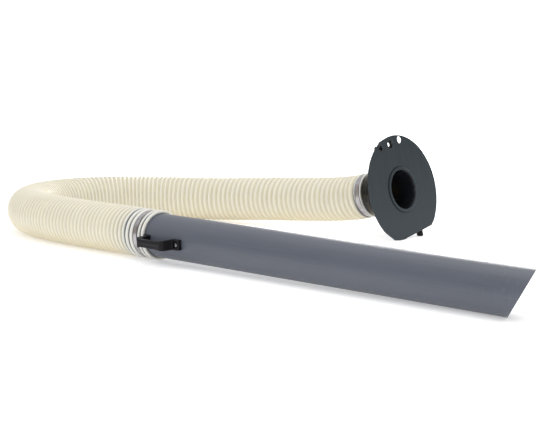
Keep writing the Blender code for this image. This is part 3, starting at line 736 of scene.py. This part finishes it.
def hose_line():
    """Evenly spaced points along the route, their distances from its start, and a frame at each."""
    points = np.array(ROUTE)
    points = np.vstack((2 * points[0] - points[1], points, 2 * points[-1] - points[-2]))
    shares = np.linspace(0, 1, 80, endpoint=False)
    dense = [between(*points[i:i + 4], t) for i in range(len(ROUTE) - 1) for t in shares]
    dense = np.array([*dense, points[-2]])
    gone = np.concatenate(([0.0], np.cumsum(np.linalg.norm(np.diff(dense, axis=0), axis=1))))
    count = round(gone[-1] / RIB_STEP) + 1
    at = np.linspace(0, gone[-1], count)
    line = np.column_stack([np.interp(at, gone, dense[:, k]) for k in range(3)])
    way = np.gradient(line, axis=0)
    way /= np.linalg.norm(way, axis=1)[:, None]
    side = np.zeros_like(line)
    side[0] = np.cross(way[0], (0, 0, 1))
    for i in range(count):
        raw = side[max(i - 1, 0)] - way[i] * (side[max(i - 1, 0)] @ way[i])
        side[i] = raw / np.linalg.norm(raw)
    return line, at, side, np.cross(way, side)


def annular(place, ribs, floor):
    """Radius of the sleeve at each place along it, and how much of a rib it is there."""
    radius = np.full_like(place, floor)
    height = np.zeros_like(place)
    slope = 1.3 * MM
    for low, high, crest in ribs:
        share = smooth(place, low, low + slope) * (1 - smooth(place, high - slope, high))
        radius = np.maximum(radius, floor + (crest - floor) * share)
        height = np.maximum(height, share)
    return radius, height


def helix_turns(at):
    """How many turns of the helix lie between each distance and the nozzle's end of the hose."""
    places, pitches = np.array(PITCHES).T * MM
    density = 1 / np.interp(at[:, 0], places, pitches)
    turns = np.concatenate(([0.0], np.cumsum((density[1:] + density[:-1]) / 2 * np.diff(at[:, 0]))))
    return (turns - np.interp(at[-1, 0] - HOSE_OVERLAP, at[:, 0], turns))[:, None]


def hose_skin(at, turn):
    """Outer radius, rib height and cover over the grey tube, for distances at and angles turn."""
    along = at - (at[-1, 0] - HOSE_OVERLAP)
    phase = (helix_turns(at) + 0.93 - turn / math.tau) % 1.0
    rib = smooth(np.abs(2 * phase - 1), 0.30, 0.76)
    radius = WEB_R + (CREST_R - WEB_R) * rib
    near = 0.30 * smooth(along, -70.0 * MM, -2.0 * MM)
    cover = near + (1 - near) * smooth(along, -3.0 * MM, 3.0 * MM) + 0 * turn
    cover = np.maximum(cover, 1 - smooth(at, PLATE_OVERLAP - 3 * MM, PLATE_OVERLAP + 2 * MM))
    nozzle_ribs = ((10.5, 19.0), (24.8, 33.4), (53.0, 58.8), (64.8, 75.0))
    nozzle_ribs = [(low * MM, high * MM, CREST_R) for low, high in nozzle_ribs]
    tail = PLATE_OVERLAP - 25 * MM
    plate_ribs = ((-1.0, tail, TAIL_R), (tail, tail + 3.5 * MM, CREST_R))
    for ring_radius, ring_rib, share in (
            (*annular(along, nozzle_ribs, SLEEVE_R), smooth(along, 0.0, 6.0 * MM)),
            (*annular(at, plate_ribs, SLEEVE_R), 1 - smooth(at, tail + 18.6 * MM, tail + 20.4 * MM))):
        radius = radius * (1 - share) + ring_radius * share
        rib = rib * (1 - share) + ring_rib * share
    return radius, rib, cover


def make_hose(finish, clear):
    """One shell from the collar to the nozzle: a ribbed skin outside, a smooth bore inside."""
    line, at, side, up = hose_line()
    turn = np.arange(ROUND)[None, :] * math.tau / ROUND
    radius, rib, over = hose_skin(at[:, None], turn)
    inner = np.linspace(0, len(at) - 1, 360).round().astype(int)[::-1]
    rows = np.concatenate((np.arange(len(at)), inner))
    radii = np.vstack((radius, np.full((len(inner), ROUND), INNER_R)))
    ribs = np.vstack((rib, np.zeros((len(inner), ROUND)) + 0.5))
    covers = np.vstack((over, over[inner]))
    cosine, sine = np.cos(turn)[:, :, None], np.sin(turn)[:, :, None]
    out = side[rows][:, None, :] * cosine + up[rows][:, None, :] * sine
    points = line[rows][:, None, :] + out * radii[:, :, None]
    along = np.repeat(at[rows][:, None], ROUND, 1)
    local = np.stack((along, radii * np.cos(turn), radii * np.sin(turn)), axis=2)
    mesh = bpy.data.meshes.new("hose")
    faces = ring_faces(len(rows), ROUND, closed=True)
    mesh.from_pydata(points.reshape(-1, 3).tolist(), [], faces)
    for name, kind, field, values in (("rib", "FLOAT", "value", ribs), ("over", "FLOAT", "value", covers),
                                      ("place", "FLOAT_VECTOR", "vector", local)):
        attribute = mesh.attributes.new(name, kind, "POINT")
        attribute.data.foreach_set(field, values.astype(np.float32).ravel())
    tail = at[rows] < PLATE_OVERLAP - 25.5 * MM
    index = np.repeat(tail, ROUND).astype(np.int32)
    mesh.polygons.foreach_set("material_index", index)
    mesh.materials.append(finish)
    mesh.materials.append(clear)
    mesh.shade_smooth()
    if mesh.polygons[0].normal.dot(Vector(points[0, 0] - line[0])) < 0:
        mesh.flip_normals()
    obj = bpy.data.objects.new("hose", mesh)
    bpy.context.scene.collection.objects.link(obj)
    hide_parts("hose_end_plate", "hose_rear_run", "hose_bend", "hose_front_run", "hose_end_nozzle")
    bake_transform(obj)


# --- clamps ---------------------------------------------------------------------------------------------


def band_mesh():
    """A perforated strip wound once round the hose, its tail passing over its start beneath the housing."""
    lap = math.radians(34)
    lead = math.radians(14)
    pitch = WORM_PITCH / (BAND_R + BAND_THICKNESS)
    whole = math.tau + lap + lead
    count = round(whole / pitch)
    slot_half = 3.4
    levels = (-6.0, -5.6, -slot_half, slot_half, 5.6, 6.0)  # across the strip, in millimetres
    points, faces = [], []
    for i in range(2 * count + 1):
        for z in levels:
            slant = max(-slot_half, min(slot_half, z)) / slot_half * pitch * 0.16
            turn = -lead + whole * i / (2 * count) + slant
            past = min(max((turn - (math.tau - 2 * lead)) / lead, 0), 1)
            radius = BAND_R + (BAND_THICKNESS + 0.3 * MM) * past + (0.15 * MM if abs(z) > 5.8 else 0)
            points.append((radius * math.cos(turn), radius * math.sin(turn), z * MM))
    width = len(levels)
    for i in range(2 * count):
        turn = -lead + whole * i / (2 * count)
        slotted = math.radians(252) < turn < whole - lead - math.radians(3)
        for j in range(width - 1):
            if slotted and i % 2 and j == 2:
                continue
            faces.append((i * width + j, (i + 1) * width + j, (i + 1) * width + j + 1, i * width + j + 1))
    mesh = mesh_of("band", points, faces)
    obj = bpy.data.objects.new("work", mesh)
    bpy.context.scene.collection.objects.link(obj)
    wall = obj.modifiers.new("wall", "SOLIDIFY")
    wall.thickness = BAND_THICKNESS
    wall.offset = 1.0
    graph = bpy.context.evaluated_depsgraph_get()
    made = bpy.data.meshes.new_from_object(obj.evaluated_get(graph))
    bpy.data.objects.remove(obj, do_unlink=True)
    bm = bmesh.new()
    bm.from_mesh(made)
    bmesh.ops.recalc_face_normals(bm, faces=bm.faces)
    bm.to_mesh(made)
    bm.free()
    made.shade_smooth()
    made.set_sharp_from_angle(angle=math.radians(30))
    return made


def housing_mesh():
    outer_half, inner_half = 7.9 * MM, 6.4 * MM
    foot = BAND_R + 0.6 * MM
    outer_r, inner_r = WORM_CREST_R + 1.9 * MM, WORM_CREST_R + 0.4 * MM
    shoulder = WORM_DISTANCE - 1.5 * MM
    arc = [math.pi * i / 24 for i in range(25)]
    outline = [(foot, outer_half), (shoulder - 1.0 * MM, outer_half)]
    outline += [(WORM_DISTANCE + outer_r * math.sin(t), outer_r * math.cos(t)) for t in arc]
    outline += [(shoulder - 1.0 * MM, -outer_half), (foot, -outer_half), (foot, -inner_half),
                (shoulder - 2.2 * MM, -inner_half)]
    outline += [(WORM_DISTANCE + inner_r * math.sin(t), -inner_r * math.cos(t)) for t in arc]
    outline += [(shoulder - 2.2 * MM, inner_half), (foot, inner_half)]
    mesh = extruded("housing", outline, -HOUSING_LENGTH / 2, HOUSING_LENGTH / 2)
    mesh.transform(Matrix(((1, 0, 0, 0), (0, 0, -1, 0), (0, 1, 0, 0), (0, 0, 0, 1))))
    return carved(mesh, bevel=0.3 * MM, segments=2)


def worm_mesh(steps=48):
    """A worm screw along local Z: a helical thread, a collar and a slotted hexagon head."""
    half = HOUSING_LENGTH / 2 - 0.8 * MM
    count = round(2 * half / WORM_PITCH * 14)
    turns = [math.tau * i / steps for i in range(steps)]
    rings = []

    def ring(z, radius_of):
        rings.append([(radius_of(t) * math.cos(t), radius_of(t) * math.sin(t), z) for t in turns])

    for i in range(count + 1):
        z = -half + 2 * half * i / count
        ease = min(1.0, 4 * i / count, 4 * (count - i) / count)

        def thread(turn, z=z, ease=ease):
            phase = (z / WORM_PITCH - turn / math.tau) % 1
            lift = min(1.0, 1.5 * (1 - abs(2 * phase - 1)))
            return WORM_CORE_R + (WORM_CREST_R - WORM_CORE_R) * ease * lift

        ring(z, thread)
    head = HOUSING_LENGTH / 2 + 0.5 * MM

    def hexagon(across, cap=1.0):
        return lambda t: min(across / 2 / math.cos((t % (math.pi / 3)) - math.pi / 6), cap)

    ring(head, lambda t: WORM_CORE_R)
    ring(head + 0.01 * MM, lambda t: 5.0 * MM)
    ring(head + 0.25 * MM, lambda t: 5.2 * MM)
    ring(head + 1.1 * MM, lambda t: 5.2 * MM)
    ring(head + 1.3 * MM, lambda t: 5.0 * MM)
    ring(head + 1.31 * MM, hexagon(8.0 * MM))
    ring(head + 5.0 * MM, hexagon(8.0 * MM))
    ring(head + 5.5 * MM, hexagon(8.0 * MM, 4.05 * MM))
    ring(head + 5.9 * MM, hexagon(7.6 * MM, 3.7 * MM))
    slot = [(-0.7 * MM, -6 * MM), (0.7 * MM, -6 * MM), (0.7 * MM, 6 * MM), (-0.7 * MM, 6 * MM)]
    top = HOUSING_LENGTH / 2 + 6.4 * MM
    return carved(stacked("worm", rings, 30), [extruded("slot", slot, top - 2.2 * MM, top + 1 * MM)])


def make_clamp(name, body, worm_body, at, turn, finish):
    parent = WAND if body == "wand" else PLATE
    place = parent @ Matrix.Translation((0, 0, at)) @ Matrix.Rotation(turn, 4, "Z")
    spindle = place @ Matrix.Translation((WORM_DISTANCE, 0, 0)) @ Matrix.Rotation(math.radians(-90), 4, "X")
    piece(f"{name}_strip", band_mesh(), place, finish, body, [f"{name}_band"])
    piece(f"{name}_box", housing_mesh(), place, finish, body, [f"{name}_housing"])
    piece(f"{name}_worm", worm_mesh(), spindle, finish, worm_body, [f"{name}_screw"])


# --- floor, light and camera ----------------------------------------------------------------------------


def make_floor():
    m = Finish("floor")
    m.set(Base_Color=(0.9, 0.9, 0.9, 1.0), Roughness=0.8)
    m.set(Emission_Color=(1.0, 1.0, 1.0, 1.0), Emission_Strength=0.35)
    mesh = bpy.data.meshes.new("floor")
    half, level = 60.0, -0.0004
    corners = [(-half, -half, level), (half, -half, level), (half, half, level), (-half, half, level)]
    mesh.from_pydata(corners, [], [(0, 1, 2, 3)])
    mesh.materials.append(m.material)
    floor = bpy.data.objects.new("floor", mesh)
    bpy.context.scene.collection.objects.link(floor)


def make_light(name, place, target, size, power):
    data = bpy.data.lights.new(name, "AREA")
    data.shape = "RECTANGLE"
    data.size, data.size_y = size
    data.energy = power
    light = bpy.data.objects.new(name, data)
    bpy.context.scene.collection.objects.link(light)
    light.location = place
    light.rotation_euler = (Vector(target) - Vector(place)).to_track_quat("-Z", "Y").to_euler()


def make_world():
    world = bpy.data.worlds.new("studio")
    world.use_nodes = True
    nodes, links = world.node_tree.nodes, world.node_tree.links
    background = nodes["Background"]
    background.inputs["Strength"].default_value = 1.0
    height = nodes.new("ShaderNodeSeparateXYZ")
    links.new(nodes.new("ShaderNodeTexCoord").outputs["Generated"], height.inputs[0])
    shade = nodes.new("ShaderNodeValToRGB")
    shade.color_ramp.elements[0].position = 0.02
    shade.color_ramp.elements[0].color = (0.55, 0.55, 0.55, 1.0)
    shade.color_ramp.elements[1].position = 0.75
    shade.color_ramp.elements[1].color = (0.98, 0.98, 0.98, 1.0)
    links.new(height.outputs["Z"], shade.inputs["Fac"])
    links.new(shade.outputs["Color"], background.inputs["Color"])
    bpy.context.scene.world = world


def make_camera():
    pitch = math.radians(8.188)
    heading = Vector((-0.7161, 0.6980, 0)).normalized()
    forward = heading * math.cos(pitch) - Vector((0, 0, math.sin(pitch)))
    right = Vector((heading.y, -heading.x, 0))
    data = bpy.data.cameras.new("camera")
    data.sensor_width = 36.0
    data.lens = 124.45
    data.shift_x = 0.0037
    data.shift_y = 0.0338
    data.clip_end = 200
    camera = bpy.data.objects.new("camera", data)
    bpy.context.scene.collection.objects.link(camera)
    camera.matrix_world = columns(right, right.cross(forward), -forward, Vector((2.7430, -3.1837, 0.65965)))
    bpy.context.scene.camera = camera


make_camera()
make_world()
make_floor()
make_light("overhead", (-0.2, 0.2, 3.0), (-0.2, 0.0, 0.0), (4.0, 3.0), 34)
make_light("front", (0.8, -3.6, 1.0), (-0.4, 0.0, 0.1), (2.5, 1.5), 18)
make_light("rear", (-1.7, 3.0, 0.9), (0.0, 0.0, 0.0), (2.6, 1.0), 60)
bpy.context.scene.view_settings.view_transform = "Standard"

PVC = grey_pvc()
PLASTIC = black_plastic()
TUBE = black_tube()
CHARCOAL = charcoal_steel()
STEEL = clamp_steel()

make_hose(ivory_hose(), clear_tail())
make_nozzle(PVC)
make_handle(PLASTIC, dull_zinc())
make_plate(CHARCOAL)
make_latch(CHARCOAL, bush_gloss())
make_pin(PLASTIC)
make_collar(TUBE, CHARCOAL)
for clamp in CLAMPS:
    make_clamp(*clamp, STEEL)

bpy.context.view_layer.update()
